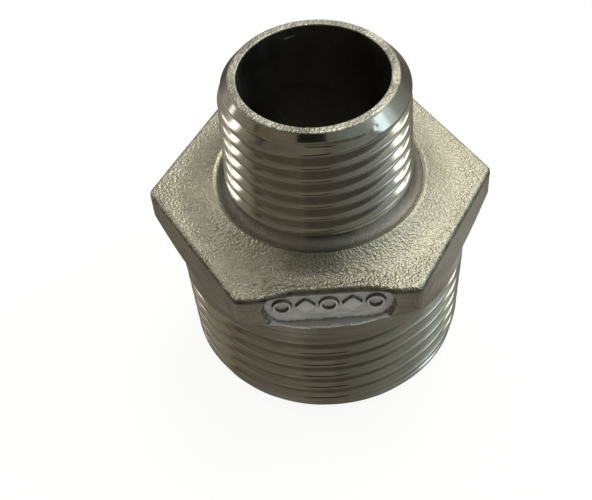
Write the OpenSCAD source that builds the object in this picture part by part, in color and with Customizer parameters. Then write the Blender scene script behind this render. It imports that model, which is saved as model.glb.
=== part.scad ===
// Reducing hex nipple: a taper male pipe thread at each end of a hexagonal collar,
// with a waterway through it. The real fitting is one casting, so every node here is
// a region of that casting, and the regions meet face to face.
// Z runs along the axis. Z = 0 is the face of the large end, on which the fitting stands.

/* [Overall] */
// Length from the large end's face to the small end's face
total_len = 38.5; // [38:0.1:42]
// Taper of both threads, in diameter per unit length
taper = 0.0625; // [0.05:0.0025:0.07]
// Thread flank half angle, in degrees
flank_angle = 27.5; // [27:0.5:30]

/* [Hexagon] */
// Width across the flats
hex_across_flats = 34; // [34:0.25:38]
// Radius that the six corners are turned down to
hex_corner_r = 19.45; // [19:0.05:19.6]
// Height of the underside above the large end's face
hex_bottom = 17.25; // [17.1:0.05:17.5]
// Height of the side flats
hex_height = 5.65; // [5:0.05:6]
// Slope of the chamfer under the corners, in degrees
underside_angle = 40; // [30:1:45]

/* [Boss round the small thread] */
// Radius of the lip where the machined fillet meets the cast face
lip_r = 11.9; // [11.7:0.05:12.5]
// Radius where the raised boss runs out into the flat top
boss_foot_r = 16.4; // [15.6:0.1:16.6]
// Radius where the boss turns from its steep part to its shallow part
boss_bend_r = 14; // [13.2:0.1:14.8]
// Height of that bend above the hexagon's top
boss_bend_height = 0.35; // [0.25:0.05:0.45]
// Radius of the machined fillet at the foot of the small thread
fillet_r = 1.6; // [1.4:0.05:1.8]
// Radius that the fillet would reach where it is upright
neck_r = 9.9; // [9.8:0.05:10]
// Height of the fillet's centre above the hexagon's top
fillet_centre_height = 2.7; // [2.6:0.05:2.75]
// Height above the hexagon's top where the fillet meets the thread
neck_height = 1.75; // [1.6:0.05:1.85]

/* [Small thread] */
// Major diameter at the gauge plane
small_major_d = 20.955; // [20.8:0.005:21.1]
// Pitch
small_pitch = 1.8143; // [1.8:0.0001:1.82]
// Distance of the gauge plane from the end face
small_gauge_len = 8.2; // [6.4:0.1:10]
// Bore diameter
small_bore_d = 16.2; // [15:0.1:16.6]
// Outer diameter of the flat rim on the end face
small_rim_d = 18; // [17.6:0.1:18]
// Length of the chamfer on the end
small_chamfer_len = 1.5; // [1.3:0.1:1.7]
// Part of the chamfer that the thread doesn't cut into
small_land_len = 1.2; // [1:0.1:1.2]
// Height of a crest at the front, which sets where the thread starts
small_crest_z = 34.6; // [33.7:0.1:35.5]
// Height over which the thread runs out above the fillet
small_runout_len = 1.2; // [0.9:0.1:1.5]

/* [Large thread] */
// Major diameter at the gauge plane
large_major_d = 33.249; // [33.1:0.001:33.4]
// Pitch
large_pitch = 2.3091; // [2.3:0.0001:2.32]
// Distance of the gauge plane from the end face
large_gauge_len = 10.4; // [8.1:0.1:12.7]
// Bore diameter
large_bore_d = 26; // [25:0.1:27]
// Outer diameter of the chamfer where it meets the end face
large_rim_d = 30.2; // [29.8:0.1:31]
// Length of the chamfer on the end
large_chamfer_len = 1.2; // [1:0.1:1.6]
// Part of the chamfer that the thread doesn't cut into
large_land_len = 0.9; // [0.6:0.1:0.9]
// Height of a crest at the front, which sets where the thread starts
large_crest_z = 14.1; // [13:0.1:15.3]
// Height at which the thread starts to run out into the plain shoulder
runout_bottom = 14; // [13:0.1:14.5]
// Height at which the shoulder is plain
runout_top = 16.4; // [16:0.1:16.8]

/* [Waterway] */
// Height where the cone inside starts
cone_bottom = 14.5; // [13:0.1:15]
// Height where the cone inside ends at the small bore
cone_top = 20; // [19:0.1:21]

/* [Size marks] */
// Length of the round-ended recess in the front flat
recess_len = 14.2; // [13:0.1:16]
// Height of the recess
recess_height = 5; // [4.9:0.1:5.2]
// Depth of the recess
recess_depth = 0.85; // [0.6:0.05:1]
// Height of the recess's lower edge above the underside
recess_lift = 0.9; // [0.8:0.05:1]
// How far the raised marks stand out of the recess's floor
mark_height = 0.4; // [0.2:0.05:0.6]
// Size of one mark
mark_size = 2.2; // [1.8:0.1:2.3]
// Distance from one mark to the next
mark_step = 2.5; // [2.3:0.1:2.6]

/* [Hidden] */
$fn = 96;

steel = [0.60, 0.59, 0.55];
cast_steel = [0.66, 0.64, 0.55];

hex_top = hex_bottom + hex_height;
neck_top = hex_top + neck_height;
fillet_centre_r = neck_r + fillet_r;
fillet_centre_z = hex_top + fillet_centre_height;
lip_z = fillet_centre_z - sqrt(pow(fillet_r, 2) - pow(lip_r - fillet_centre_r, 2));
neck_top_r = fillet_centre_r - sqrt(pow(fillet_r, 2) - pow(fillet_centre_z - neck_top, 2));
underside_rise = (hex_corner_r - hex_across_flats / 2) * tan(underside_angle);
slope = taper / 2;
cut = 1;

// Rounded triangular thread form, in pitches: sharp height, depth, rounding radius,
// and the point where the rounding meets the flank
sharp_height = 0.5 / tan(flank_angle);
thread_depth = sharp_height * 2 / 3;
rounding_r = (sharp_height / 6) * sin(flank_angle) / (1 - sin(flank_angle));
tangent_u = rounding_r * cos(flank_angle);
tangent_v = rounding_r * (1 - sin(flank_angle));

// One ridge, as [distance along the axis, height above the root], in pitches
ridge_root_u = 0.46;
ridge_sink = 0.06;
ridge_form = [
    [-ridge_root_u, -ridge_sink],
    [tangent_u - 0.5, tangent_v],
    [-tangent_u, thread_depth - tangent_v],
    [0, thread_depth],
    [tangent_u, thread_depth - tangent_v],
    [0.5 - tangent_u, tangent_v],
    [ridge_root_u, -ridge_sink],
];
steps_per_turn = 36;
fade_turns = 0.5;
thinnest = 0.03;
mark_hole = 0.6;

function small_crest_r(z) = small_major_d / 2 + (total_len - z - small_gauge_len) * slope;
function small_root_r(z) = small_crest_r(z) - thread_depth * small_pitch;
small_runout_top = neck_top + small_runout_len;
function small_runout_part(z) = max(0, min(1, (small_runout_top - z) / small_runout_len));
function small_core_r(z) = small_root_r(z)
    + small_runout_part(z) * (neck_top_r - small_root_r(z));
function small_chamfer_r(z) = small_rim_d / 2
    + (total_len - z) * (small_crest_r(total_len) - small_rim_d / 2) / small_chamfer_len;

function large_crest_r(z) = large_major_d / 2 + (z - large_gauge_len) * slope;
function large_root_r(z) = large_crest_r(z) - thread_depth * large_pitch;
function large_chamfer_r(z) = large_rim_d / 2
    + z * (large_crest_r(0) - large_rim_d / 2) / large_chamfer_len;
shoulder_r = large_crest_r(runout_top);
function large_runout_part(z) =
    max(0, min(1, (z - runout_bottom) / (runout_top - runout_bottom)));
function large_core_r(z) = large_root_r(z)
    + large_runout_part(z) * (large_crest_r(z) - large_root_r(z));

// Each ridge runs from one end's land to the neck or the shoulder, where it fades out
small_start_z = neck_top + ridge_root_u * small_pitch;
small_land_z = total_len - small_land_len;
small_turns = (small_land_z - ridge_root_u * small_pitch - small_start_z) / small_pitch;
large_start_z = large_land_len + ridge_root_u * large_pitch;
large_turns = (runout_top - large_start_z) / large_pitch;
function fade(turns_to_end) = min(1, turns_to_end / fade_turns);

// The angle at which a ridge starts, so that a crest passes the front at the given height
front_angle = -90;
function start_angle(start_z, crest_z, pitch) = front_angle + 360 * (start_z - crest_z) / pitch;

// A right-hand ridge swept up a helix from a list of rings of [radius, height] points
module helical_ridge(rings, first_angle) {
    ring_size = len(rings[0]);
    last = len(rings) - 1;
    angle = function(i) first_angle + i * 360 / steps_per_turn;
    corners = [
        for (i = [0 : last], point = rings[i])
            [point[0] * cos(angle(i)), point[0] * sin(angle(i)), point[1]]
    ];
    sides = [
        for (i = [0 : last - 1], j = [0 : ring_size - 1])
            let (
                k = (j + 1) % ring_size,
                a = i * ring_size + j,
                b = i * ring_size + k,
                c = a + ring_size,
                d = b + ring_size
            )
            each [[a, c, b], [b, c, d]]
    ];
    first_cap = [for (j = [1 : ring_size - 2]) [0, j, j + 1]];
    base = last * ring_size;
    last_cap = [for (j = [1 : ring_size - 2]) [base, base + j + 1, base + j]];
    polyhedron(corners, concat(sides, first_cap, last_cap));
}

module revolved(outline) {
    rotate_extrude() polygon(outline);
}

module hexagonal_block() {
    intersection() {
        translate([0, 0, hex_bottom])
            cylinder(h = hex_height, d = hex_across_flats / cos(30), $fn = 6);
        revolved([
            [0, hex_bottom],
            [hex_across_flats / 2, hex_bottom],
            [hex_corner_r, hex_bottom + underside_rise],
            [hex_corner_r, hex_top],
            [0, hex_top],
        ]);
    }
}

module filleted_boss() {
    difference() {
        revolved([
            [0, hex_bottom + cut],
            [boss_foot_r, hex_bottom + cut],
            [boss_foot_r, hex_top],
            [boss_bend_r, hex_top + boss_bend_height],
            [lip_r, lip_z],
            [lip_r, neck_top],
            [0, neck_top],
        ]);
        rotate_extrude() translate([fillet_centre_r, fillet_centre_z]) circle(r = fillet_r);
    }
}

module waterway() {
    revolved([
        [0, -cut],
        [large_bore_d / 2, -cut],
        [large_bore_d / 2, cone_bottom],
        [small_bore_d / 2, cone_top],
        [small_bore_d / 2, total_len + cut],
        [0, total_len + cut],
    ]);
}

module round_ended_recess() {
    radius = recess_height / 2;
    reach = recess_len / 2 - radius;
    middle_z = hex_bottom + recess_lift + radius;
    floor_y = recess_depth - hex_across_flats / 2;
    for (side = [-1, 1])
        translate([side * reach, floor_y, middle_z])
            rotate([90, 0, 0])
                cylinder(h = recess_depth + cut, r = radius);
    translate([-reach, floor_y - recess_depth - cut, middle_z - radius])
        cube([2 * reach, recess_depth + cut, recess_height]);
}

// The as-cast hexagon, with the boss and the machined fillet on top of it
module hex_collar() {
    color(cast_steel)
        difference() {
            union() {
                hexagonal_block();
                filleted_boss();
            }
            waterway();
            round_ended_recess();
        }
}

// The tube that carries the small thread, out to the roots of the thread
module small_spigot() {
    color(steel)
        difference() {
            revolved([
                [0, neck_top],
                [neck_top_r, neck_top],
                [small_root_r(small_runout_top), small_runout_top],
                [small_root_r(small_land_z), small_land_z],
                [small_chamfer_r(small_land_z), small_land_z],
                [small_rim_d / 2, total_len],
                [0, total_len],
            ]);
            waterway();
        }
}

// The ridge of the small thread, cut back by the chamfer on the end
module small_thread() {
    rings = [
        for (i = [0 : floor(small_turns * steps_per_turn)])
            let (
                turn = i / steps_per_turn,
                centre_z = small_start_z + turn * small_pitch
            )
            [
                for (point = ridge_form)
                    let (
                        z = centre_z + point[0] * small_pitch,
                        base_r = small_core_r(z) - ridge_sink * small_pitch,
                        height = (point[1] + ridge_sink) * small_pitch,
                        full_r = small_root_r(centre_z) - ridge_sink * small_pitch
                            + height * fade(turn)
                    )
                    [height == 0 ? base_r : max(base_r + thinnest, min(full_r, small_chamfer_r(z))), z]
            ]
    ];
    color(steel) helical_ridge(rings, start_angle(small_start_z, small_crest_z, small_pitch));
}

// The tube that carries the large thread, with the plain shoulder under the hexagon
module large_spigot() {
    color(steel)
        difference() {
            revolved([
                [0, 0],
                [large_rim_d / 2, 0],
                [large_chamfer_r(large_land_len), large_land_len],
                [large_root_r(large_land_len), large_land_len],
                [large_root_r(runout_bottom), runout_bottom],
                [shoulder_r, runout_top],
                [shoulder_r, hex_bottom],
                [0, hex_bottom],
            ]);
            waterway();
        }
}

// The ridge of the large thread, cut back by the chamfer and running out at the shoulder
module large_thread() {
    rings = [
        for (i = [0 : floor(large_turns * steps_per_turn)])
            let (
                turn = i / steps_per_turn,
                centre_z = large_start_z + turn * large_pitch
            )
            [
                for (point = ridge_form)
                    let (
                        z = centre_z + point[0] * large_pitch,
                        base_r = large_core_r(z) - ridge_sink * large_pitch,
                        height = (point[1] + ridge_sink) * large_pitch,
                        full_r = large_root_r(centre_z) - ridge_sink * large_pitch
                            + height * fade(large_turns - turn)
                    )
                    [height == 0 ? base_r : max(base_r + thinnest, min(full_r, large_chamfer_r(z))), z]
            ]
    ];
    color(steel) helical_ridge(rings, start_angle(large_start_z, large_crest_z, large_pitch));
}

// Plain raised shapes on the recess's floor, where such fittings carry their size
module size_marks() {
    middle_z = hex_bottom + recess_lift + recess_height / 2;
    floor_y = recess_depth - hex_across_flats / 2;
    color(cast_steel)
        for (i = [-2 : 2])
            translate([i * mark_step, floor_y, middle_z])
                rotate([90, 0, 0])
                    if (i % 2 == 0)
                        difference() {
                            cylinder(h = mark_height, d = mark_size, $fn = 32);
                            translate([0, 0, -cut])
                                cylinder(
                                    h = mark_height + 2 * cut,
                                    d = mark_size * mark_hole,
                                    $fn = 32
                                );
                        }
                    else
                        cylinder(h = mark_height, d = mark_size, $fn = 4);
}

hex_collar();
small_spigot();
small_thread();
large_spigot();
large_thread();
size_marks();
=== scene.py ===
import math

import bpy
import numpy as np
from mathutils import Matrix, Vector, noise


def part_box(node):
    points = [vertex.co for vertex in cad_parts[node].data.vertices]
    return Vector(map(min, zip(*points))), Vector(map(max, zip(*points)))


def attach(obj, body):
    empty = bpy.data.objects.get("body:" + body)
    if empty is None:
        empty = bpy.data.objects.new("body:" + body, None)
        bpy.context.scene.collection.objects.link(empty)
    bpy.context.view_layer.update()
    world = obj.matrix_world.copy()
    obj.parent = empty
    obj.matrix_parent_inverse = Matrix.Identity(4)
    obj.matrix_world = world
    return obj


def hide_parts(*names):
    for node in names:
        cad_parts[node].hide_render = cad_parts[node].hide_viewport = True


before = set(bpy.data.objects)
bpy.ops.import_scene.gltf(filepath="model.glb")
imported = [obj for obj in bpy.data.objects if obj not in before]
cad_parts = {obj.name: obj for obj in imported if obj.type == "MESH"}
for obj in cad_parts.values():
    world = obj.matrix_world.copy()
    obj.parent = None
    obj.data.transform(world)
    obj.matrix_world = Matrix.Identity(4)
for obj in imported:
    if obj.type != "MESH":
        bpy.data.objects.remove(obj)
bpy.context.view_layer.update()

# All shapes are worked out in millimetres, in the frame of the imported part, and made in metres.
MM = 0.001

# ---------------------------------------------------------------- sizes

collar_low, collar_high = (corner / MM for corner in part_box("hex_collar"))
small_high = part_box("small_spigot")[1] / MM

TOTAL = small_high.z
HEX_BOTTOM = collar_low.z
HALF_FLATS = collar_high.y
HEX_TOP = HEX_BOTTOM + 5.65
FILLET_Z = HEX_TOP + 2.7

FLANK = math.radians(27.5)
FORM_DEPTH = 0.640327
FORM_ROUND = 0.137329
TAPER = 1 / 32

SMALL_PITCH = 1.8143
SMALL_CREST_Z = 34.6
SMALL_GAUGE_R = 10.4775
SMALL_GAUGE_Z = TOTAL - 8.2
SMALL_BORE_R = 8.1
SMALL_RIM_R = 9.0
SMALL_CHAMFER = 1.5
NECK_R = 9.9

LARGE_PITCH = 2.3091
LARGE_CREST_Z = 14.1
LARGE_GAUGE_R = 16.6245
LARGE_GAUGE_Z = 10.4
LARGE_BORE_R = 13.0
LARGE_RIM_R = 15.1
LARGE_CHAMFER = 1.2

CONE_BOTTOM = 14.5
CONE_TOP = 20.0

LIP_R = 11.65
LIP_Z = 24.05
LIP_WIDTH = 0.45
LIP_DROP = 0.13
BOSS_FOOT_R = 16.4
FILLET_R = 1.6
NECK_TOP = HEX_TOP + 1.75
FILLET_CENTRE_R = NECK_R + FILLET_R
CORNER_ROUND = 1.17
TOP_EDGE_ROUND = 0.55
UNDERSIDE_SLOPE = math.tan(math.radians(40))

RECESS_HALF_LEN = 7.1
RECESS_HALF_HEIGHT = 2.5
RECESS_MIDDLE_Z = 20.65
RECESS_DEPTH = 0.85
RECESS_PULL_Y = -14.0
RECESS_BLEND_Z = 21.9
MARK_STEP = 2.5
MARK_R = 1.1
MARK_HEIGHT = 0.4
MARK_TOP_FROM = 0.35


def clamp(value, low=0.0, high=1.0):
    return max(low, min(high, value))


def smooth(value):
    value = clamp(value)
    return value * value * (3 - 2 * value)


def soft_min(a, b, width):
    """The lower of two heights, with the corner between them rounded over the given width."""
    h = clamp(0.5 + (b - a) / (2 * width))
    return b + (a - b) * h - width * h * (1 - h)


# The material of a face, as its place in the piece's list of materials
TURNED_FACE, RIM_FACE, BORE_FACE, FILLET_FACE = range(4)
CAST_FACE, FLOOR_FACE, BURR_FACE, LIP_FACE = range(4)


# ---------------------------------------------------------------- mesh building


class Shell:
    """Collects the points and faces of one closed surface.

    shades holds a multiplier on the metal's colour at a point: 1 is plain, and it moves off 1 for
    random tone, for painted shade and shadow, and for painted highlights and a painted glint.
    """

    def __init__(self):
        self.points = []
        self.faces = []
        self.kinds = []
        self.shades = {}

    def add(self, x, y, z):
        self.points.append((x, y, z))
        return len(self.points) - 1

    def ring(self, radius, z, columns):
        first = math.radians(-90)
        turn = 2 * math.pi / columns
        return [
            self.add(radius * math.cos(first + j * turn), radius * math.sin(first + j * turn), z)
            for j in range(columns)
        ]

    def face(self, corners, kind=0):
        self.faces.append(corners)
        self.kinds.append(kind)

    def band(self, lower, upper, kind=0):
        """Joins two rings; the faces look outwards where the upper ring is the higher one."""
        count = len(lower)
        for j in range(count):
            k = (j + 1) % count
            self.face((lower[j], lower[k], upper[k], upper[j]), kind)

    def build(self, name, materials, body="root"):
        mesh = bpy.data.meshes.new(name)
        mesh.from_pydata([tuple(c * MM for c in p) for p in self.points], [], self.faces)
        mesh.polygons.foreach_set("use_smooth", [True] * len(self.faces))
        for material in materials:
            mesh.materials.append(material)
        mesh.polygons.foreach_set("material_index", self.kinds)
        shade = mesh.attributes.new("shade", "FLOAT", "POINT")
        shade.data.foreach_set("value", [self.shades.get(i, 1.0) for i in range(len(self.points))])
        mesh.update()
        piece = bpy.data.objects.new(name, mesh)
        bpy.context.scene.collection.objects.link(piece)
        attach(piece, body)
        return piece


def thread_form(u):
    """Height of the rounded thread form above its root, in pitches; u = 0 is the crest."""
    u = abs(u)
    tangent = FORM_ROUND * math.cos(FLANK)
    if u <= tangent:
        return FORM_DEPTH - FORM_ROUND + math.sqrt(FORM_ROUND**2 - u**2)
    if u >= 0.5 - tangent:
        return FORM_ROUND - math.sqrt(FORM_ROUND**2 - (0.5 - u) ** 2)
    rise = FORM_DEPTH - 2 * FORM_ROUND * (1 - math.sin(FLANK))
    straight = 0.5 - 2 * tangent
    return FORM_ROUND * (1 - math.sin(FLANK)) + rise * (0.5 - tangent - u) / straight


# How near to its end rings a thread's grid may have a row, in pitches
ROW_MARGIN = 0.012
# Where the rows of a thread's grid lie within one pitch, counted from the crest upwards
ROWS = (0, 0.035, 0.07, 0.12, 0.17, 0.225, 0.28, 0.33, 0.378, 0.44)
ROWS += (0.5, 0.56, 0.622, 0.67, 0.72, 0.775, 0.83, 0.88, 0.93, 0.965)


def helical_grid(shell, columns, z_low, z_high, pitch, crest_z, radius):
    """The outer wall of a threaded end, on a grid whose rows follow the thread.

    radius(angle, z, phase) gives the surface, where phase counts pitches from the crest.
    Returns the plain rings at the bottom and at the top.
    """
    per_turn = len(ROWS)
    margin = ROW_MARGIN * pitch
    first = math.radians(-90)
    bottom, top, walls = [], [], []

    def point(angle, z, phase):
        r = radius(angle, z, phase)
        return shell.add(r * math.cos(angle), r * math.sin(angle), z)

    for j in range(columns):
        part = j / columns
        angle = first + 2 * math.pi * part
        base = crest_z + pitch * part
        wall = {}
        turn = math.floor((z_low - base) / pitch) - 1
        while base + turn * pitch < z_high:
            for step, offset in enumerate(ROWS):
                z = base + (turn + offset) * pitch
                if z_low + margin < z < z_high - margin:
                    wall[turn * per_turn + step] = point(angle, z, turn + offset)
            turn += 1
        bottom.append(point(angle, z_low, (z_low - base) / pitch))
        top.append(point(angle, z_high, (z_high - base) / pitch))
        walls.append(wall)

    for j in range(columns):
        k = (j + 1) % columns
        left = walls[j]
        shift = per_turn if k == 0 else 0
        right = {i - shift: v for i, v in walls[k].items()}
        low = max(min(left), min(right))
        high = min(max(left), max(right))
        for i in range(low, high):
            shell.face((left[i], right[i], right[i + 1], left[i + 1]))
        foot = [bottom[j], bottom[k]]
        foot += [right[i] for i in range(min(right), low + 1)]
        foot += [left[i] for i in range(low, min(left) - 1, -1)]
        shell.face(tuple(foot))
        head = [left[i] for i in range(max(left), high - 1, -1)]
        head += [right[i] for i in range(high, max(right) + 1)]
        head += [top[k], top[j]]
        shell.face(tuple(head))
    return bottom, top


# ---------------------------------------------------------------- materials


def links(tree):
    """Shorthand for making nodes and wiring them in one material or world."""

    def node(kind, inputs=None, **settings):
        made = tree.nodes.new(kind)
        for key, value in settings.items():
            setattr(made, key, value)
        for key, value in (inputs or {}).items():
            if isinstance(value, bpy.types.NodeSocket):
                tree.links.new(value, made.inputs[key])
            else:
                made.inputs[key].default_value = value
        return made

    return node


def ramp(node, value, stops, interpolation="LINEAR"):
    made = node("ShaderNodeValToRGB", {"Fac": value})
    made.color_ramp.interpolation = interpolation
    elements = made.color_ramp.elements
    while len(elements) > 1:
        elements.remove(elements[-1])
    for index, (position, colour) in enumerate(stops):
        element = elements[0] if index == 0 else elements.new(position)
        element.position = position
        element.color = (*colour, 1)
    return made.outputs["Color"]


# The slow wander of a metal's tint and roughness: noise cells per metre, and the range it spans
CLOUD_SCALE = 260.0
CLOUD_LOW, CLOUD_HIGH = 0.3, 0.7


def metal(name, colour_stops, roughness_range, build_bump, metallic=1.0):
    """A metal whose tint and roughness wander slowly, with a bump made by build_bump."""
    material = bpy.data.materials.new(name)
    material.use_nodes = True
    tree = material.node_tree
    tree.nodes.clear()
    node = links(tree)
    place = node("ShaderNodeTexCoord").outputs["Object"]
    cloud = node(
        "ShaderNodeTexNoise",
        {"Vector": place, "Scale": CLOUD_SCALE, "Detail": 5.0, "Roughness": 0.6},
    ).outputs["Fac"]
    # The shade attribute scales the tint: random tone, painted shade and painted highlights
    tone_and_shade = node("ShaderNodeAttribute", attribute_name="shade").outputs["Fac"]
    tint = node(
        "ShaderNodeVectorMath",
        {0: ramp(node, cloud, colour_stops), "Scale": tone_and_shade},
        operation="SCALE",
    ).outputs["Vector"]
    rough = node(
        "ShaderNodeMapRange",
        {"Value": cloud, "From Min": CLOUD_LOW, "From Max": CLOUD_HIGH,
         "To Min": roughness_range[0], "To Max": roughness_range[1]},
    ).outputs["Result"]
    shader = node(
        "ShaderNodeBsdfPrincipled",
        {"Base Color": tint, "Roughness": rough, "Metallic": metallic},
    )
    bump = build_bump(node, place)
    if bump is not None:
        tree.links.new(bump, shader.inputs["Normal"])
    node("ShaderNodeOutputMaterial", {"Surface": shader.outputs["BSDF"]})
    return material


def pebble_bump(cell_mm, height_mm, grain_mm, grain_height_mm):
    """The orange-peel skin of an investment casting: rounded pebbles with a finer grain."""

    def build(node, place):
        normal = None
        for size, height, detail in (
            (cell_mm, height_mm, 1.0),
            (grain_mm, grain_height_mm, 2.0),
        ):
            grain = node(
                "ShaderNodeTexNoise",
                {"Vector": place, "Scale": 1 / (size * MM), "Detail": detail, "Roughness": 0.5},
            ).outputs["Fac"]
            inputs = {"Height": grain, "Distance": height * MM, "Strength": 1.0}
            if normal is not None:
                inputs["Normal"] = normal
            normal = node("ShaderNodeBump", inputs).outputs["Normal"]
        return normal

    return build


# How fast a tool line changes along its way round, against how fast it changes across
LINE_DRIFT = 0.02


def turned_bump(line_mm, height_mm):
    """Fine tool lines that run round the axis."""

    def build(node, place):
        xyz = node("ShaderNodeSeparateXYZ", {"Vector": place}).outputs
        flat = node("ShaderNodeCombineXYZ", {"X": xyz["X"], "Y": xyz["Y"]}).outputs["Vector"]
        radius = node(
            "ShaderNodeVectorMath", {0: flat}, operation="LENGTH"
        ).outputs["Value"]
        drift = node(
            "ShaderNodeVectorMath", {0: flat, "Scale": LINE_DRIFT}, operation="SCALE"
        ).outputs["Vector"]
        stretched = node("ShaderNodeSeparateXYZ", {"Vector": drift}).outputs
        across = node(
            "ShaderNodeMath", {0: radius, 1: stretched["X"]}, operation="ADD"
        ).outputs["Value"]
        vector = node(
            "ShaderNodeCombineXYZ", {"X": across, "Y": stretched["Y"], "Z": xyz["Z"]}
        ).outputs["Vector"]
        lines = node(
            "ShaderNodeTexNoise",
            {"Vector": vector, "Scale": 1 / (line_mm * MM), "Detail": 2.0},
        ).outputs["Fac"]
        return node(
            "ShaderNodeBump",
            {"Height": lines, "Distance": height_mm * MM, "Strength": 1.0},
        ).outputs["Normal"]

    return build


CAST = metal(
    "cast_skin",
    [(0.3, (0.60, 0.585, 0.53)), (0.5, (0.68, 0.665, 0.61)), (0.7, (0.76, 0.735, 0.66))],
    (0.24, 0.34),
    pebble_bump(0.29, 0.125, 0.14, 0.040),
)
FLOOR = metal(
    "recess_floor",
    [(0.3, (0.64, 0.62, 0.60)), (0.7, (0.76, 0.74, 0.72))],
    (0.45, 0.55),
    pebble_bump(0.50, 0.03, 0.15, 0.012),
    metallic=0.5,
)
TURNED = metal(
    "turned_steel",
    [(0.3, (0.58, 0.565, 0.53)), (0.6, (0.65, 0.635, 0.60)), (0.75, (0.60, 0.57, 0.52))],
    (0.09, 0.15),
    turned_bump(0.12, 0.002),
)
FILLET = metal(
    "fillet_steel",
    [(0.3, (0.64, 0.62, 0.59)), (0.7, (0.80, 0.78, 0.75))],
    (0.32, 0.42),
    pebble_bump(0.26, 0.045, 0.11, 0.020),
    metallic=0.85,
)
RIM = metal(
    "blasted_rim",
    [(0.35, (0.30, 0.30, 0.29)), (0.5, (0.52, 0.52, 0.50)), (0.62, (0.76, 0.76, 0.72))],
    (0.24, 0.34),
    pebble_bump(0.32, 0.09, 0.14, 0.03),
)
# A near black metal: painted shade deep in the bores
BORE = metal(
    "bore_painted_shade",
    [(0.3, (0.11, 0.108, 0.10)), (0.7, (0.19, 0.185, 0.17))],
    (0.45, 0.6),
    pebble_bump(0.6, 0.03, 0.2, 0.010),
)
# A light, mostly diffuse metal: a painted highlight along the torn lower edge of the recess
BURR = metal(
    "torn_edge_highlight",
    [(0.3, (0.80, 0.79, 0.75)), (0.7, (0.92, 0.91, 0.87))],
    (0.35, 0.5),
    pebble_bump(0.3, 0.08, 0.12, 0.03),
    metallic=0.2,
)
# A light, partly diffuse metal: a painted highlight along the lip
LIP = metal(
    "lip_painted_highlight",
    [(0.3, (0.80, 0.78, 0.68)), (0.7, (0.95, 0.93, 0.82))],
    (0.24, 0.34),
    pebble_bump(0.36, 0.080, 0.13, 0.020),
    metallic=0.6,
)
# A dark metal: painted shade on the lower sides of the raised marks
MARK_WALL_SHADE = metal(
    "mark_wall_painted_shade",
    [(0.3, (0.17, 0.155, 0.135)), (0.7, (0.27, 0.25, 0.22))],
    (0.45, 0.6),
    pebble_bump(0.3, 0.04, 0.12, 0.012),
)


# ---------------------------------------------------------------- small end


def small_crest_r(z):
    return SMALL_GAUGE_R + (SMALL_GAUGE_Z - z) * TAPER


def small_chamfer_r(z):
    outer = small_crest_r(TOTAL)
    return SMALL_RIM_R + (TOTAL - z) * (outer - SMALL_RIM_R) / SMALL_CHAMFER


# Where the thread's groove starts and ends, and over what part of a turn and length it fades
RUN_IN_Z = 37.52
RUN_IN_TURN = 0.22
RUN_OUT_Z = 25.2
RUN_OUT_LEN = 1.0
NECK_Z = NECK_TOP + 0.05
SHOULDER_Z = 25.15
# The burr at the start of the groove
BURR_FROM = math.radians(-74)
BURR_TO = math.radians(-48)
BURR_FADE = 0.08
BURR_HEIGHT = 0.16
BURR_ABOVE_ROOT = 0.05
BURR_WIDTH = 0.14
# How softly the turned edges are broken, and the cutter's chatter
EDGE_BREAK = 0.05
SMALL_GROOVE_EDGE = 0.025
LARGE_GROOVE_EDGE = 0.03
CHATTER = 0.005
CHATTER_PER_MM = 0.8
SMALL_CHATTER_ROUND = 6
LARGE_CHATTER_ROUND = 8


def fillet_surface_r(z):
    return FILLET_CENTRE_R - math.sqrt(FILLET_R**2 - (FILLET_Z - z) ** 2)


def burr(angle, z, root_z):
    """The ragged edge that the cutter leaves where the thread starts in the chamfer."""
    turn = (angle + math.pi / 2) % (2 * math.pi) - math.pi / 2
    window = smooth((turn - BURR_FROM) / BURR_FADE) * smooth((BURR_TO - turn) / BURR_FADE)
    if window <= 0:
        return 0.0
    ragged = noise.noise(Vector((turn * 40, z * 2.5, 3.0)))
    off = (z - root_z - BURR_ABOVE_ROOT) / BURR_WIDTH
    return BURR_HEIGHT * window * ragged * math.exp(-(off ** 2))


def chatter(angle, z, cells_round):
    """The slight unevenness that the cutter leaves all over a thread."""
    x, y = math.cos(angle) * cells_round, math.sin(angle) * cells_round
    return CHATTER * noise.noise(Vector((x, y, z * CHATTER_PER_MM)))


def small_radius(angle, z, phase):
    crest = small_crest_r(z)
    blank = soft_min(crest, small_chamfer_r(z), EDGE_BREAK)
    if z < SHOULDER_Z:
        foot = fillet_surface_r(NECK_Z)
        blank = foot + (crest - foot) * smooth((z - NECK_Z) / (SHOULDER_Z - NECK_Z))
    u = phase - math.floor(phase + 0.5)
    root_z = z - (phase - math.floor(phase) - 0.5) * SMALL_PITCH
    run_in = math.sqrt(clamp((RUN_IN_Z - root_z) / (RUN_IN_TURN * SMALL_PITCH)))
    run_out = clamp((root_z - RUN_OUT_Z) / RUN_OUT_LEN)
    lift = (1 - run_out) * FORM_DEPTH * SMALL_PITCH
    tool = crest - (FORM_DEPTH - thread_form(u)) * SMALL_PITCH * run_in + lift
    tool += chatter(angle, z, SMALL_CHATTER_ROUND)
    return soft_min(blank, tool, SMALL_GROOVE_EDGE) + burr(angle, z, root_z)


def arc(centre_r, centre_z, radius, start, end, steps):
    """Points (r, z) along an arc, with its angles in degrees."""
    return [
        (centre_r + radius * math.cos(math.radians(start + (end - start) * i / steps)),
         centre_z + radius * math.sin(math.radians(start + (end - start) * i / steps)))
        for i in range(steps + 1)
    ]


def between(value, stops):
    """Reads a value off straight lines between the stops (position, level)."""
    for (start, low), (end, high) in zip(stops, stops[1:]):
        if value <= end:
            return low + (high - low) * clamp((value - start) / (end - start))
    return stops[-1][1]


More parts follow.
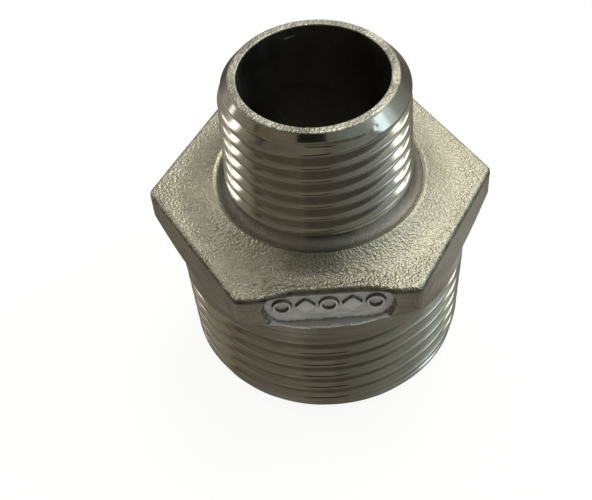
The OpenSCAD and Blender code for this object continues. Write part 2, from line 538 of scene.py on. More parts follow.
# Painted shade on the fillet round the neck, by degrees from the front. This and the patches of
# painted shade at the front follow tones in the photo, which are shade and dark reflections.
FILLET_PAINTED_SHADE = [
    (0, 0.9), (30, 0.8), (50, 0.62), (65, 0.4), (90, 0.28), (180, 0.35),
    (265, 0.26), (300, 0.42), (325, 0.8), (360, 0.9),
]
# The painted shade on the fillet below the last thread turn, in degrees round its middle
PATCH_MIDDLE = 4
PATCH_REACH = 18
PATCH_FADE = 6
# A short bright mark in the bore, which stands in for a glint that the photo shows there:
# from and to in height and in degrees, and how bright
GLINT_LOW, GLINT_HIGH = 37.1, 37.35
GLINT_FROM, GLINT_TO = 192, 201
GLINT_SHADE = 5.0


def painted_shade_and_glint(kind, z, degrees):
    """Painted shade and a painted glint on a plain ring of a turned end, by degrees from the front
    in 0 to 360.
    """
    if kind == FILLET_FACE:
        off = abs((degrees - PATCH_MIDDLE + 180) % 360 - 180)
        front = smooth((PATCH_REACH - off) / PATCH_FADE)
        # Painted shade: darker down towards the neck under the thread, and darkest at the front
        shadow = between(z, [(LIP_Z - 0.1, 1.0), (NECK_TOP, 0.45 - 0.3 * front)])
        return between(degrees, FILLET_PAINTED_SHADE) * shadow
    if kind == BORE_FACE and GLINT_LOW < z < GLINT_HIGH:
        if GLINT_FROM < degrees < GLINT_TO:
            return GLINT_SHADE
    return 1.0


# Painted shade on the neck between the fillet and the thread, and how much deeper it is at the
# front
NECK_SHADE = 0.75
NECK_PATCH = 0.5
NECK_PATCH_REACH = 16
NECK_PATCH_FADE = 5


def turned_end(name, columns, grid, rings, materials):
    """A closed turned piece: the threaded wall from grid, closed by plain rings (r, z, kind)."""
    shell = Shell()
    bottom, top = helical_grid(shell, columns, *grid)
    # Painted shade on the neck below the thread, deepest at the front
    for i, (x, y, z) in enumerate(shell.points):
        if NECK_Z < z < SHOULDER_Z:
            degrees = math.degrees(math.atan2(x, -y))
            off = abs(degrees - PATCH_MIDDLE)
            patch = smooth((NECK_PATCH_REACH - off) / NECK_PATCH_FADE)
            shell.shades[i] = NECK_SHADE - NECK_PATCH * patch
    last = top
    for radius, z, kind in rings:
        ring = shell.ring(radius, z, columns)
        for j, point in enumerate(ring):
            shell.shades[point] = painted_shade_and_glint(kind, z, 360 * j / columns)
        shell.band(last, ring, kind)
        last = ring
    shell.band(last, bottom)
    return shell.build(name, materials)


# The top of the threaded grid, and the plain rings that close the small end above and inside it
GRID_TOP = TOTAL - 0.35
SMALL_COLUMNS = 288
RIM_STEP = 0.16
SMALL_BORE_ROWS = (37.5, 37.3, 37.2, 37.05, 36, 35, 33, 31, 29, 27, 25, 23, 21, 20.1)
FILLET_START = 284.5
FILLET_STEPS = 14

small_rings = [
    (small_chamfer_r(TOTAL - 0.2), TOTAL - 0.2, TURNED_FACE),
    (small_chamfer_r(TOTAL - 0.07), TOTAL - 0.07, TURNED_FACE),
    (SMALL_RIM_R - 0.01, TOTAL - 0.02, RIM_FACE),
    (SMALL_RIM_R - 0.06, TOTAL, RIM_FACE),
]
small_rings += [(SMALL_RIM_R - 0.06 - RIM_STEP * i, TOTAL, RIM_FACE) for i in range(1, 5)]
small_rings += [
    (SMALL_BORE_R + 0.10, TOTAL, RIM_FACE),
    (SMALL_BORE_R + 0.04, TOTAL - 0.02, RIM_FACE),
    (SMALL_BORE_R, TOTAL - 0.09, RIM_FACE),
    (SMALL_BORE_R, TOTAL - 0.3, BORE_FACE),
]
small_rings += [(SMALL_BORE_R, z, BORE_FACE) for z in SMALL_BORE_ROWS]
cone_r = LARGE_BORE_R - (HEX_BOTTOM - CONE_BOTTOM) * (LARGE_BORE_R - SMALL_BORE_R) / (
    CONE_TOP - CONE_BOTTOM
)
small_rings += [
    (SMALL_BORE_R + 0.03, CONE_TOP - 0.05, BORE_FACE),
    (cone_r, HEX_BOTTOM, BORE_FACE),
    (LIP_R, HEX_BOTTOM, BORE_FACE),
    (LIP_R, LIP_Z - 0.3, FILLET_FACE),
]
fillet_end = 180 + math.degrees(math.asin((FILLET_Z - NECK_Z) / FILLET_R))
fillet_arc = arc(FILLET_CENTRE_R, FILLET_Z, FILLET_R, FILLET_START, fillet_end, FILLET_STEPS)
small_rings += [(r, z, FILLET_FACE) for r, z in fillet_arc]
small_end = turned_end(
    "small_end", SMALL_COLUMNS,
    (NECK_Z + 0.02, GRID_TOP, SMALL_PITCH, SMALL_CREST_Z, small_radius),
    small_rings, [TURNED, RIM, BORE, FILLET],
)
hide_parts("small_spigot", "small_thread")


# ---------------------------------------------------------------- large end


def large_crest_r(z):
    return LARGE_GAUGE_R + (z - LARGE_GAUGE_Z) * TAPER


def large_chamfer_r(z):
    outer = large_crest_r(0)
    return LARGE_RIM_R + z * (outer - LARGE_RIM_R) / LARGE_CHAMFER


LARGE_START_Z = 0.9
LARGE_RUN_OUT_Z = 15.65
LARGE_RUN_OUT_LEN = 2.6
LARGE_COLUMNS = 320
SHOULDER_R = large_crest_r(16.4)


def large_radius(angle, z, phase):
    crest = large_crest_r(z)
    blank = soft_min(min(crest, SHOULDER_R), large_chamfer_r(z), EDGE_BREAK)
    u = phase - math.floor(phase + 0.5)
    root_z = z - (phase - math.floor(phase) - 0.5) * LARGE_PITCH
    run_in = math.sqrt(clamp((root_z - LARGE_START_Z) / LARGE_PITCH))
    run_out = clamp((LARGE_RUN_OUT_Z - root_z) / LARGE_RUN_OUT_LEN)
    part = min(run_in, run_out)
    tool = crest - (FORM_DEPTH - thread_form(u)) * LARGE_PITCH * part
    tool += chatter(angle, z, LARGE_CHATTER_ROUND)
    return soft_min(blank, tool, LARGE_GROOVE_EDGE)


large_rings = [
    (SHOULDER_R, HEX_BOTTOM, TURNED_FACE),
    (cone_r, HEX_BOTTOM, BORE_FACE),
    (LARGE_BORE_R - 0.03, CONE_BOTTOM + 0.05, BORE_FACE),
]
large_rings += [(LARGE_BORE_R, z, BORE_FACE) for z in (14.3, 12, 10, 8, 6, 4, 2, 0.5)]
large_rings += [
    (LARGE_BORE_R, 0.12, RIM_FACE),
    (LARGE_BORE_R + 0.04, 0.03, RIM_FACE),
    (LARGE_BORE_R + 0.12, 0.0, RIM_FACE),
    (13.8, 0.0, RIM_FACE),
    (14.5, 0.0, RIM_FACE),
    (LARGE_RIM_R - 0.1, 0.0, RIM_FACE),
    (LARGE_RIM_R - 0.02, 0.02, RIM_FACE),
    (large_chamfer_r(0.1), 0.1, TURNED_FACE),
    (large_chamfer_r(0.3), 0.3, TURNED_FACE),
]
large_end = turned_end(
    "large_end", LARGE_COLUMNS,
    (0.5, HEX_BOTTOM - 0.12, LARGE_PITCH, LARGE_CREST_Z, large_radius),
    large_rings, [TURNED, RIM, BORE],
)
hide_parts("large_spigot", "large_thread")


# ---------------------------------------------------------------- cast collar

# The steps of the collar's grid along the front flat, along the others and round a corner
FRONT_STEP = 0.115
FLAT_STEP = 0.17
CORNER_STEPS = 8


def outline():
    """The rounded hexagon as (x, y, normal x, normal y), starting and ending on the front flat."""
    points = []
    inner = HALF_FLATS - CORNER_ROUND
    half = inner * math.tan(math.radians(30))
    for side in range(6):
        facing = math.radians(-90 + 60 * side)
        nx, ny = math.cos(facing), math.sin(facing)
        step = FRONT_STEP if side == 0 else FLAT_STEP
        count = round(2 * half / step)
        for i in range(count):
            along = -half + 2 * half * i / count
            points.append((HALF_FLATS * nx - along * ny, HALF_FLATS * ny + along * nx, nx, ny))
        corner = facing + math.radians(30)
        reach = inner / math.cos(math.radians(30))
        for i in range(CORNER_STEPS):
            turn = facing + math.radians(60 * i / CORNER_STEPS)
            points.append((
                reach * math.cos(corner) + CORNER_ROUND * math.cos(turn),
                reach * math.sin(corner) + CORNER_ROUND * math.sin(turn),
                math.cos(turn), math.sin(turn),
            ))
    return points


# How far the boss would rise above the lip at its inner edge, and how steeply both curve
BOSS_RISE = 0.33
BOSS_CURVE = 1.9
LIP_CURVE = 1.3


def top_z(r):
    """Height of the cast top: a boss that runs out smoothly towards the flats."""
    t = clamp((BOSS_FOOT_R - max(r, LIP_R + LIP_WIDTH)) / (BOSS_FOOT_R - LIP_R))
    inside = clamp((LIP_R + LIP_WIDTH - r) / LIP_WIDTH)
    return HEX_TOP + (LIP_Z + BOSS_RISE - HEX_TOP) * t**BOSS_CURVE - LIP_DROP * inside**LIP_CURVE


# How far the recess's wall spreads outside and inside its edge, and how much more it does below
WALL_OUT, LOWER_WALL_OUT = 0.04, 0.86
WALL_IN, LOWER_WALL_IN = -0.20, 0.18


def recess_part(x, z):
    """How far a point of the front flat is sunk, from 0 on the flat to 1 on the recess's floor."""
    reach = RECESS_HALF_LEN - RECESS_HALF_HEIGHT
    out = math.hypot(max(abs(x) - reach, 0), z - RECESS_MIDDLE_Z) - RECESS_HALF_HEIGHT
    lower = clamp((RECESS_MIDDLE_Z - z) / RECESS_HALF_HEIGHT) ** 4
    outer = WALL_OUT + LOWER_WALL_OUT * lower
    inner = WALL_IN + LOWER_WALL_IN * lower
    return smooth((outer - out) / (outer - inner))


# Painted shade along the rounded top edge, from the top to the flat, darkest on its lower half
EDGE_PAINTED_SHADE = (1.0, 1.0, 0.9, 0.55, 0.3, 0.3, 0.5)
# Painted light on the front flat, which is made lighter than the others
FRONT_PAINTED_LIGHT_Y = -16.3
FRONT_PAINTED_LIGHT = 0.3
# Painted shade over the flats, random streaks along them, and painted shade from this radius out
# to the upright corners
FLAT_SHADE = 0.9
STREAK = 0.16
CORNER_SHADE = 0.14
CORNER_SHADE_FROM_R = 18.1
# The painted shade on the top at the front: its middle and reach in degrees, its outer radius, its
# depth
TOP_PATCH_MIDDLE = -6
TOP_PATCH_REACH = 20
TOP_PATCH_R = 15.2
TOP_PATCH = 0.42


def cast_streaks_and_painted_light(x, y, z, tone_and_shade):
    """Random streaks, with painted shade on the edges, flats, corners and top front, and painted
    light on the front flat.
    """
    shade_unevenness = 0.8 + 0.6 * noise.noise(Vector((x, y, z)) / 0.9)
    level = 1 - (1 - tone_and_shade) * clamp(shade_unevenness, 0.3, 1.2)
    reach = math.hypot(x, y)
    if z < HEX_TOP - TOP_EDGE_ROUND:
        streak = noise.noise(Vector((x * 0.5, y * 0.5, z * 3.0)))
        corner = smooth((reach - CORNER_SHADE_FROM_R) / 0.9)
        level *= FLAT_SHADE + STREAK * streak - CORNER_SHADE * corner
        level *= 1 + FRONT_PAINTED_LIGHT * smooth((FRONT_PAINTED_LIGHT_Y - y) / 0.5)
    degrees = math.degrees(math.atan2(x, -y))
    across = smooth((TOP_PATCH_REACH - abs(degrees - TOP_PATCH_MIDDLE)) / 12)
    patch = across * smooth((TOP_PATCH_R - reach) / 1.5)
    return level * (1 - TOP_PATCH * patch)


# How wide the painted highlight on the lip is, by degrees from the front
LIP_HIGHLIGHT_WIDTH = [
    (-180, 0.3), (-110, 0.36), (-35, 0.36), (-22, 0.16), (14, 0.16), (30, 0.5), (50, 0.8),
    (90, 0.6), (130, 0.3), (180, 0.3),
]
# The least width of the lip, and the beads of its border
LIP_LEAST = 0.08
BEAD_SIZE = 0.14
BEADS_PER_MM = 1.9


def lip_edge(x, y):
    """Radius out to which the cast lip carries a painted highlight, with a beaded border."""
    bead = BEAD_SIZE * noise.noise(Vector((x * BEADS_PER_MM, y * BEADS_PER_MM, 5.0)))
    return LIP_R + LIP_LEAST + between(math.degrees(math.atan2(x, -y)), LIP_HIGHLIGHT_WIDTH) + bead


# The dip in the top edge above the recess: its depth, its half length and its run-out
EDGE_PULL = 0.8
EDGE_PULL_REACH = 7.9
EDGE_PULL_FADE = 4.4


def edge_pull(x):
    """How far the recess draws the top edge of the front flat inwards."""
    return EDGE_PULL * smooth((EDGE_PULL_REACH - abs(x)) / EDGE_PULL_FADE)


# How the rows of the collar's grid are shared out, and how rough the skin is on the lip
LIP_ROWS = 8
LIP_PART = 0.1
LIP_ROUGH = 0.3
TOP_ROWS = 33
EDGE_ROWS = 6
FLAT_ROWS = 36
UNDER_ROWS = 6
UNDER_ROUGH = 0.6
# How far the sloped underside starts above, and inside, the plain ends of its rows
UNDER_GAP = 0.12
UNDER_DROP = 0.03
UNDER_IN = 0.08
UNDER_END = 0.1

# The recess: where its parts start, how rough they are, and the painted shade on its lower slope
# and walls
FLOOR_FROM = 0.97
FLOOR_ROUGH = 0.35
SLOPE_FROM = 0.02
SLOPE_BELOW = 2.1
SLOPE_ROUGH = 0.3
SLOPE_SHADE = 0.8
WALL_FROM = 0.06
WALL_SHADE = 0.45

# The torn line along the lower edge of the recess, which carries a painted highlight
BURR_HALF_LEN = 4.9
BURR_LOW = 0.08
BURR_HIGH = 0.25


def torn_edge_highlight(x):
    """Height up to which the torn lower edge of the recess carries a painted highlight."""
    swell = 0.10 * noise.noise(Vector((x * 0.9, 0, 0)))
    ragged = 0.12 * noise.noise(Vector((x * 4.7, 7.0, 0)))
    return HEX_BOTTOM + BURR_HIGH + swell + ragged


def cast_collar():
    shell = Shell()
    border = outline()
    skin = []

    def row(place, rough=1.0, tone_and_shade=1.0):
        ring = []
        for x, y, nx, ny in border:
            px, py, pz = place(x, y, nx, ny)
            point = shell.add(px, py, pz)
            ring.append(point)
            skin.append(rough)
            shell.shades[point] = cast_streaks_and_painted_light(px, py, pz, tone_and_shade)
        return ring

    def on_top(t):
        def place(x, y, nx, ny):
            ex, ey = x - nx * TOP_EDGE_ROUND, y - ny * TOP_EDGE_ROUND
            r = math.hypot(ex, ey)
            scale = (LIP_R + (r - LIP_R) * t) / r
            return ex * scale, ey * scale, top_z(r * scale)
        return place

    def on_edge(degrees):
        sunk = TOP_EDGE_ROUND * (1 - math.cos(math.radians(degrees)))
        out = TOP_EDGE_ROUND * math.sin(math.radians(degrees))
        def place(x, y, nx, ny):
            ex, ey = x - nx * TOP_EDGE_ROUND, y - ny * TOP_EDGE_ROUND
            return ex + nx * out, ey + ny * out, top_z(math.hypot(ex, ey)) - sunk
        return place

    def on_flat(t):
        def place(x, y, nx, ny):
            ex, ey = x - nx * TOP_EDGE_ROUND, y - ny * TOP_EDGE_ROUND
            high = top_z(math.hypot(ex, ey)) - TOP_EDGE_ROUND
            low = HEX_BOTTOM + (math.hypot(x, y) - HALF_FLATS) * UNDERSIDE_SLOPE + UNDER_GAP
            return x, y, high + (low - high) * t
        return place

    def under(t, drop):
        def place(x, y, nx, ny):
            r = math.hypot(x, y)
            end = HALF_FLATS - UNDER_END
            at = r - UNDER_IN + (end - r + UNDER_IN) * t
            z = HEX_BOTTOM + max(0, at - HALF_FLATS) * UNDERSIDE_SLOPE + drop
            return x * at / r, y * at / r, z
        return place

    def circle(radius, z):
        def place(x, y, nx, ny):
            r = math.hypot(x, y)
            return x * radius / r, y * radius / r, z
        return place

    rows = [row(circle(LIP_R, LIP_Z - 0.02), 0.0)]
    rows += [row(on_top(LIP_PART * i / LIP_ROWS), LIP_ROUGH) for i in range(1, LIP_ROWS)]
    rows += [
        row(on_top(LIP_PART + (1 - LIP_PART) * i / TOP_ROWS), min(1.0, 0.4 + i / 5))
        for i in range(TOP_ROWS)
    ]
    # The rounded top edge carries painted shade on its lower half
    rows += [
        row(on_edge(90 * i / EDGE_ROWS), 1.0, EDGE_PAINTED_SHADE[i]) for i in range(EDGE_ROWS + 1)
    ]
    # The first row of the flat carries painted shade
    rows += [
        row(on_flat(i / FLAT_ROWS), 1.0, 0.8 if i == 1 else 1.0)
        for i in range(1, FLAT_ROWS + 1)
    ]
    rows += [row(under(0, UNDER_DROP), UNDER_ROUGH)]
    rows += [row(under(i / UNDER_ROWS, 0.0), UNDER_ROUGH) for i in range(1, UNDER_ROWS + 1)]
    rows += [row(circle(SHOULDER_R, HEX_BOTTOM), 0.0)]
    rows += [row(circle(LIP_R, HEX_BOTTOM), 0.0)]
    for lower, upper in zip(rows, rows[1:] + rows[:1]):
        shell.band(upper, lower)

    floor_points = set()
    for i, (x, y, z) in enumerate(shell.points):
        if not (y < RECESS_PULL_Y and abs(x) < RECESS_HALF_LEN + 1 and skin[i] > 0):
            continue
        part = recess_part(x, min(z, HEX_TOP))
        over = smooth((z - RECESS_BLEND_Z) / 0.5)
        depth = RECESS_DEPTH * part * (1 - over) + edge_pull(x) * over
        edge = HALF_FLATS - TOP_EDGE_ROUND
        pull = clamp((RECESS_PULL_Y - y) / (RECESS_PULL_Y + edge))
        shell.points[i] = (x, y + depth * pull, z)
        if z > RECESS_BLEND_Z + 0.2:
            continue
        if part > FLOOR_FROM:
            floor_points.add(i)
            skin[i] = FLOOR_ROUGH
            shell.shades[i] = 0.88 + 0.25 * noise.noise(Vector((x * 0.7, 0, z * 2.0)))
        elif z < RECESS_MIDDLE_Z - SLOPE_BELOW and part > SLOPE_FROM:
            floor_points.add(i)
            skin[i] = SLOPE_ROUGH
            # Painted shade on the lower slope, darkest where it meets the floor
            near_floor = smooth((part - 0.7) / 0.2)
            shell.shades[i] = SLOPE_SHADE - 0.5 * near_floor
        elif part > WALL_FROM:
            # Painted shade on the walls of the recess
            shell.shades[i] = WALL_SHADE

    shell.kinds = []
    for corners in shell.faces:
        x, y, z = shell.points[corners[0]]
        kind = CAST_FACE
        if floor_points.issuperset(corners):
            kind = FLOOR_FACE
        # The torn lower edge of the recess takes the light metal of a painted highlight
        below_recess = abs(x) < BURR_HALF_LEN and y < RECESS_PULL_Y
        if below_recess and HEX_BOTTOM + BURR_LOW < z < torn_edge_highlight(x):
            kind = BURR_FACE
        # The lip takes the light metal of a painted highlight
        if z > HEX_TOP and math.hypot(x, y) < lip_edge(x, y):
            kind = LIP_FACE
        shell.kinds.append(kind)
    piece = shell.build("collar_cast", [CAST, FLOOR, BURR, LIP])
    roughen(piece, skin)
    return piece


# The size and depth of the pebbles and of the slow swell in the cast skin
PEBBLE = 0.42
PEBBLE_DEPTH = 0.017
SWELL = 2.6
SWELL_DEPTH = 0.015


def roughen(piece, skin):
    """Presses the casting's pebbled skin into the mesh; it never moves a point outwards."""
    mesh = piece.data
    count = len(mesh.vertices)
    places = np.empty(count * 3)
    mesh.vertices.foreach_get("co", places)
    places = places.reshape(-1, 3)
    normals = np.empty(count * 3, np.float32)
    mesh.vertex_normals.foreach_get("vector", normals)
    normals = normals.reshape(-1, 3)
    for i in range(count):
        if skin[i] <= 0:
            continue
        at = Vector(places[i]) / MM
        pebble = noise.noise(at / PEBBLE)
        swell = noise.noise(at / SWELL)
        depth = PEBBLE_DEPTH * (1 + pebble) + SWELL_DEPTH * (1 + swell)
        places[i] -= normals[i] * (depth * skin[i] * MM)
    mesh.vertices.foreach_set("co", places.reshape(-1))
    mesh.update()


collar = cast_collar()
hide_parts("hex_collar")


# ---------------------------------------------------------------- raised marks

# The outline of a mark from its foot up and over: part of its radius, and height above the floor
MARK_PROFILE = [(1.0, -0.15), (1.0, 0.0), (0.97, 0.2), (0.9, 0.33), (0.8, 0.39)]
RING_INSIDE = [(0.78, 0.39), (0.67, 0.33), (0.62, 0.2), (0.6, 0.0), (0.6, -0.15)]
DIAMOND_TOP = [(0.4, MARK_HEIGHT), (0.01, MARK_HEIGHT)]
MARK_COLUMNS = 48
# How sharp a diamond is: 1 has straight sides, 2 is a circle
DIAMOND_POWER = 1.15


def size_marks():
    """Plain rings and diamonds with rounded edges, standing on the recess's floor."""
    shell = Shell()
    floor = RECESS_DEPTH - HALF_FLATS
    for index in (-2, -1, 0, 1, 2):
        is_ring = index % 2 == 0
        shape = MARK_PROFILE + (RING_INSIDE if is_ring else DIAMOND_TOP)
        rings = []
        for size, height in shape:
            ring = []
            for j in range(MARK_COLUMNS):
                angle = 2 * math.pi * j / MARK_COLUMNS
                if is_ring:
                    reach = MARK_R * size
                else:
                    spread = abs(math.cos(angle)) ** DIAMOND_POWER
                    spread += abs(math.sin(angle)) ** DIAMOND_POWER
                    reach = MARK_R * size / spread ** (1 / DIAMOND_POWER)
                ring.append(shell.add(
                    index * MARK_STEP + reach * math.cos(angle),
                    floor - min(height, MARK_HEIGHT - 0.01),
                    RECESS_MIDDLE_Z + reach * math.sin(angle),
                ))
            rings.append(ring)
        for step, (inner, outer) in enumerate(zip(rings, rings[1:])):
            level = (shape[step][1] + shape[step + 1][1]) / 2
            # Below MARK_TOP_FROM the sides take the dark metal of the painted shade
            shell.band(inner, outer, int(level < MARK_TOP_FROM))
        if is_ring:
            shell.band(rings[-1], rings[0])
        else:
            shell.face(tuple(rings[-1]))
            shell.face(tuple(reversed(rings[0])))
    return shell.build("size_marks_cast", [FLOOR, MARK_WALL_SHADE])


marks = size_marks()
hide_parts("size_marks")


# ---------------------------------------------------------------- camera

CAMERA_DISTANCE = 138.883
CAMERA_ELEVATION = math.radians(48.864)
CAMERA_ROLL = math.radians(-4.998)
CAMERA_AZIMUTH = math.radians(1.394)
CAMERA_SIDE = -3.38
TARGET_Z = 10.633
LENS = 69.307
SENSOR_WIDTH = 36.0
CLIP_START = 0.01
CLIP_END = 50.0


def add_camera():
    back = Vector((0, -math.cos(CAMERA_ELEVATION), math.sin(CAMERA_ELEVATION)))
    level = Vector((1, 0, 0))
    rise = back.cross(level)
    side = math.cos(CAMERA_ROLL) * level + math.sin(CAMERA_ROLL) * rise
    up = -math.sin(CAMERA_ROLL) * level + math.cos(CAMERA_ROLL) * rise
    place = Vector((0, 0, TARGET_Z)) + back * CAMERA_DISTANCE + side * CAMERA_SIDE
    axes = Matrix((side, up, back)).transposed().to_4x4()
    turn = Matrix.Rotation(CAMERA_AZIMUTH, 4, "Z")
    data = bpy.data.cameras.new("camera")
    data.lens = LENS
    data.sensor_width = SENSOR_WIDTH
    data.clip_start = CLIP_START
    data.clip_end = CLIP_END
    camera = bpy.data.objects.new("camera", data)
    camera.matrix_world = turn @ Matrix.Translation(place * MM) @ axes
    bpy.context.scene.collection.objects.link(camera)
    bpy.context.scene.camera = camera


add_camera()


# ---------------------------------------------------------------- stage and light


def smooth_step(node, value, low, high):
    return node(
        "ShaderNodeMapRange",
        {"Value": value, "From Min": low, "From Max": high},
        interpolation_type="SMOOTHSTEP",
    ).outputs["Result"]


def times(node, a, b):
    return node("ShaderNodeMath", {0: a, 1: b}, operation="MULTIPLY").outputs["Value"]


def azimuth_of(node, x, y):
    """Degrees from the front (-Y), positive towards +X."""
    back = node("ShaderNodeMath", {0: y, 1: -1.0}, operation="MULTIPLY").outputs["Value"]
    angle = node("ShaderNodeMath", {0: x, 1: back}, operation="ARCTAN2").outputs["Value"]
    return node("ShaderNodeMath", {0: angle}, operation="DEGREES").outputs["Value"]


def turn_part(node, azimuth):
    return node(
        "ShaderNodeMapRange", {"Value": azimuth, "From Min": -180.0, "From Max": 180.0}
    ).outputs["Result"]


def by_azimuth(node, part, stops):
    return ramp(node, part, [((a + 180) / 360, c) for a, c in stops])


# What the metal mirrors of the room, at three heights: colours by azimuth, in degrees from the
# front. They started as colours sampled along the metal in the photo, traced back to the
# direction that they reflect, and were then adjusted over several renders.
ROOM_LOW = [
    (-180, (0.50, 0.48, 0.40)), (-160, (0.40, 0.38, 0.30)), (-140, (0.30, 0.28, 0.22)),
    (-128, (0.34, 0.31, 0.25)), (-103, (0.31, 0.29, 0.225)), (-89, (0.22, 0.20, 0.145)),
    (-76, (0.20, 0.18, 0.13)), (-64, (0.13, 0.11, 0.07)), (-50, (0.16, 0.14, 0.10)),
    (-20, (0.16, 0.14, 0.10)), (0, (0.13, 0.12, 0.09)), (21, (0.14, 0.135, 0.105)),
    (32, (0.18, 0.205, 0.18)), (57, (0.25, 0.265, 0.24)), (66, (0.40, 0.43, 0.42)),
    (89, (0.70, 0.82, 0.80)), (97, (0.33, 0.36, 0.33)), (117, (0.22, 0.23, 0.19)),
    (134, (0.27, 0.28, 0.22)), (143, (0.60, 0.58, 0.45)), (152, (0.95, 0.92, 0.72)),
    (165, (0.90, 0.87, 0.68)), (180, (0.50, 0.48, 0.40)),
]
ROOM_MIDDLE = [
    (-180, (0.36, 0.34, 0.27)), (-172, (0.44, 0.42, 0.335)), (-150, (0.31, 0.285, 0.22)),
    (-130, (0.26, 0.24, 0.175)), (-107, (0.25, 0.225, 0.16)), (-66, (0.17, 0.15, 0.11)),
    (-40, (0.14, 0.13, 0.09)), (0, (0.13, 0.12, 0.09)), (48, (0.20, 0.21, 0.19)),
    (67, (0.40, 0.44, 0.38)), (82, (0.46, 0.49, 0.43)), (96, (0.35, 0.365, 0.32)),
    (104, (0.31, 0.32, 0.28)), (120, (0.30, 0.30, 0.25)), (131, (0.58, 0.56, 0.44)),
    (150, (0.86, 0.84, 0.66)),
    (170, (0.80, 0.78, 0.62)), (176, (0.56, 0.54, 0.43)), (180, (0.36, 0.34, 0.27)),
]
ROOM_HIGH = [
    (-180, (0.20, 0.18, 0.145)), (-174, (0.19, 0.175, 0.14)), (-145, (0.19, 0.17, 0.135)),
    (-134, (0.28, 0.26, 0.21)), (-115, (0.20, 0.18, 0.14)), (-99, (0.16, 0.14, 0.105)),
    (-87, (0.12, 0.105, 0.08)), (-72, (0.135, 0.12, 0.09)), (-50, (0.15, 0.135, 0.10)),
    (-3, (0.15, 0.14, 0.105)), (-1, (0.115, 0.105, 0.085)), (30, (0.14, 0.135, 0.11)),
    (55, (0.185, 0.185, 0.155)), (73, (0.20, 0.205, 0.18)), (88, (0.25, 0.26, 0.23)),
    (100, (0.33, 0.35, 0.33)), (118, (0.60, 0.60, 0.50)), (131, (1.30, 1.27, 1.02)),
    (147, (1.75, 1.72, 1.38)), (160, (3.00, 2.95, 2.40)), (173, (3.20, 3.15, 2.56)),
    (177, (0.85, 0.83, 0.66)), (180, (0.22, 0.20, 0.16)),
]
ZENITH = (0.09, 0.08, 0.056)
# The elevations in degrees between which one height's colours give way to the next one's
TO_MIDDLE = (30.0, 40.0)
TO_HIGH = (45.0, 51.0)
TO_ZENITH = (78.0, 86.0)
# What the camera sees behind the object
BACKDROP = (0.94, 0.94, 0.93, 1)
# Panes of light, a dark panel and a leaning dark post, placed where the photo's highlights and
# dark reflections trace back to: azimuth from and to, elevation from and to, softness of the
# edges, colour
PANES = [
    (-112, -106, 2, 11, 2, (1.7, 1.55, 1.4)),
    (-127, -119.5, 32, 41, 1.7, (2.6, 2.5, 2.2)),
    (-129.5, -118, 21, 31, 1.7, (2.5, 2.4, 2.05)),
    (-121, -115, 28, 36.5, 1.5, (2.4, 2.3, 2.0)),
    (107, 118, 39.5, 48, 1.7, (2.4, 2.4, 2.15)),
    (105, 121, 26, 36.5, 1.7, (2.9, 2.85, 2.4)),
    (105, 115, 36, 40, 1.5, (2.8, 2.75, 2.35)),
    (70, 83, 13, 26, 3, (1.3, 1.6, 1.65)),
    (-25, 10, 27, 53, 1, (0.015, 0.015, 0.01)),
    (-77, -70, 15, 28, 1.5, (0.10, 0.08, 0.05)),
    (-86, -79, 28, 38, 1.5, (0.10, 0.08, 0.05)),
    (-95, -88, 38, 48, 1.5, (0.09, 0.07, 0.045)),
    (-107, -99, 48, 58, 1.5, (0.055, 0.04, 0.03)),
    (-93, -87, 49, 56, 1.2, (0.07, 0.05, 0.035)),
]


def light_room():
    world = bpy.data.worlds.new("room")
    bpy.context.scene.world = world
    world.use_nodes = True
    tree = world.node_tree
    tree.nodes.clear()
    node = links(tree)
    way = node("ShaderNodeTexCoord").outputs["Generated"]
    xyz = node("ShaderNodeSeparateXYZ", {"Vector": way}).outputs
    azimuth = azimuth_of(node, xyz["X"], xyz["Y"])
    part = turn_part(node, azimuth)
    rise = node("ShaderNodeMath", {0: xyz["Z"]}, operation="ARCSINE").outputs["Value"]
    elevation = node("ShaderNodeMath", {0: rise}, operation="DEGREES").outputs["Value"]
    room = by_azimuth(node, part, ROOM_LOW)
    for colour, (start, end) in (
        (by_azimuth(node, part, ROOM_MIDDLE), TO_MIDDLE),
        (by_azimuth(node, part, ROOM_HIGH), TO_HIGH),
        ((*ZENITH, 1), TO_ZENITH),
    ):
        room = node(
            "ShaderNodeMix",
            {"Factor": smooth_step(node, elevation, start, end), 6: room, 7: colour},
            data_type="RGBA",
        ).outputs[2]
    for left, right, bottom, top, soft, colour in PANES:
        inside = times(
            node,
            times(node, smooth_step(node, azimuth, left - soft, left + soft),
                  smooth_step(node, azimuth, right + soft, right - soft)),
            times(node, smooth_step(node, elevation, bottom - soft, bottom + soft),
                  smooth_step(node, elevation, top + soft, top - soft)),
        )
        room = node(
            "ShaderNodeMix", {"Factor": inside, 6: room, 7: (*colour, 1)}, data_type="RGBA"
        ).outputs[2]
    seen = node("ShaderNodeLightPath").outputs["Is Camera Ray"]
    mirrored = node("ShaderNodeBackground", {"Color": room, "Strength": 1.0})
    pale = node("ShaderNodeBackground", {"Color": BACKDROP, "Strength": 1.0})
    mixed = node(
        "ShaderNodeMixShader",
        {0: seen, 1: mirrored.outputs["Background"], 2: pale.outputs["Background"]},
    )
    node("ShaderNodeOutputWorld", {"Surface": mixed.outputs["Shader"]})


DISC_COLUMNS = 96
DISC_PARTS = (0.004, 0.05, 0.2, 1.0)


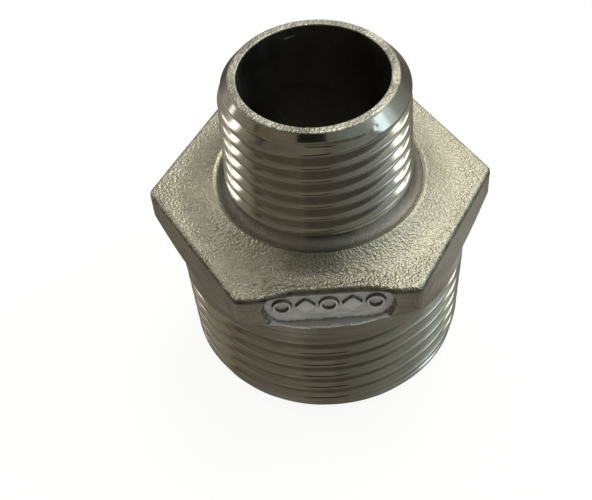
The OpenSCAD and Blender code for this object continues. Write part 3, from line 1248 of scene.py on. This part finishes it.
def stage_disc(name, radius, z, shader_of):
    """A flat disc of the stage, in rings that lie closer together near the object."""
    shell = Shell()
    rings = [shell.ring(radius * part, z, DISC_COLUMNS) for part in DISC_PARTS]
    for inner, outer in zip(rings, rings[1:]):
        shell.band(outer, inner)
    shell.face(tuple(rings[0]))
    mesh = bpy.data.meshes.new(name)
    mesh.from_pydata([tuple(c * MM for c in p) for p in shell.points], [], shell.faces)
    material = bpy.data.materials.new(name)
    material.use_nodes = True
    tree = material.node_tree
    tree.nodes.clear()
    node = links(tree)
    node("ShaderNodeOutputMaterial", {"Surface": shader_of(node)})
    mesh.materials.append(material)
    disc = bpy.data.objects.new(name, mesh)
    bpy.context.scene.collection.objects.link(disc)
    return disc


FLOOR_GLOW = (0.93, 0.93, 0.93, 1)
FLOOR_STRENGTH = 0.97
FLOOR_MATT = (0.3, 0.3, 0.3, 1)


def pale_floor(node):
    glow = node("ShaderNodeEmission", {"Color": FLOOR_GLOW, "Strength": FLOOR_STRENGTH})
    matt = node("ShaderNodeBsdfDiffuse", {"Color": FLOOR_MATT})
    return node(
        "ShaderNodeAddShader", {0: glow.outputs["Emission"], 1: matt.outputs["BSDF"]}
    ).outputs["Shader"]


# What the upright metal mirrors of the table just in front of it, found as the room's colours were
TABLE = [
    (-180, (0.34, 0.32, 0.26)), (-140, (0.30, 0.28, 0.22)), (-105, (0.17, 0.16, 0.12)),
    (-85, (0.15, 0.14, 0.11)), (-62, (0.22, 0.20, 0.16)), (-44, (0.13, 0.12, 0.10)),
    (-22, (0.19, 0.18, 0.145)), (-5, (0.12, 0.11, 0.085)), (15, (0.13, 0.12, 0.095)),
    (45, (0.18, 0.17, 0.14)), (70, (0.23, 0.21, 0.17)), (92, (0.35, 0.34, 0.30)),
    (130, (0.31, 0.30, 0.25)), (160, (0.38, 0.37, 0.32)), (180, (0.34, 0.32, 0.26)),
]
# What it mirrors of the table farther off
FAR_TABLE = [
    (-180, (0.12, 0.11, 0.09)), (-145, (0.09, 0.085, 0.07)), (-131, (0.25, 0.23, 0.19)),
    (-119, (0.55, 0.52, 0.42)), (-107, (0.30, 0.28, 0.22)), (-95, (0.18, 0.165, 0.12)),
    (-60, (0.14, 0.125, 0.09)), (-22, (0.15, 0.13, 0.10)), (-16, (0.11, 0.095, 0.075)),
    (8, (0.10, 0.09, 0.075)), (50, (0.11, 0.11, 0.10)), (66, (0.20, 0.21, 0.20)),
    (85, (0.26, 0.27, 0.25)), (103, (0.17, 0.17, 0.15)), (120, (0.20, 0.19, 0.16)),
    (130, (0.13, 0.125, 0.11)), (143, (0.12, 0.115, 0.10)), (160, (0.20, 0.19, 0.16)),
    (180, (0.12, 0.11, 0.09)),
]
# The distances from the axis between which the near table gives way to the far one
NEAR_TABLE_END = 35
FAR_TABLE_START = 54


def mirrored_table(node):
    xyz = node("ShaderNodeSeparateXYZ", {
        "Vector": node("ShaderNodeTexCoord").outputs["Object"]
    }).outputs
    part = turn_part(node, azimuth_of(node, xyz["X"], xyz["Y"]))
    flat = node("ShaderNodeCombineXYZ", {"X": xyz["X"], "Y": xyz["Y"]}).outputs["Vector"]
    reach = node("ShaderNodeVectorMath", {0: flat}, operation="LENGTH").outputs["Value"]
    colour = node(
        "ShaderNodeMix",
        {"Factor": smooth_step(node, reach, NEAR_TABLE_END * MM, FAR_TABLE_START * MM),
         6: by_azimuth(node, part, TABLE), 7: by_azimuth(node, part, FAR_TABLE)},
        data_type="RGBA",
    ).outputs[2]
    return node("ShaderNodeEmission", {"Color": colour}).outputs["Emission"]


FLOOR_R = 6000.0
FLOOR_Z = -0.05
TABLE_R = 3000.0
TABLE_Z = -0.08

light_room()
floor = stage_disc("floor", FLOOR_R, FLOOR_Z, pale_floor)
floor.visible_glossy = False
table_glow = stage_disc("table_glow", TABLE_R, TABLE_Z, mirrored_table)
table_glow.visible_camera = False
table_glow.visible_diffuse = False
table_glow.visible_shadow = False

scene = bpy.context.scene
scene.view_settings.view_transform = "Standard"
scene.view_settings.look = "None"
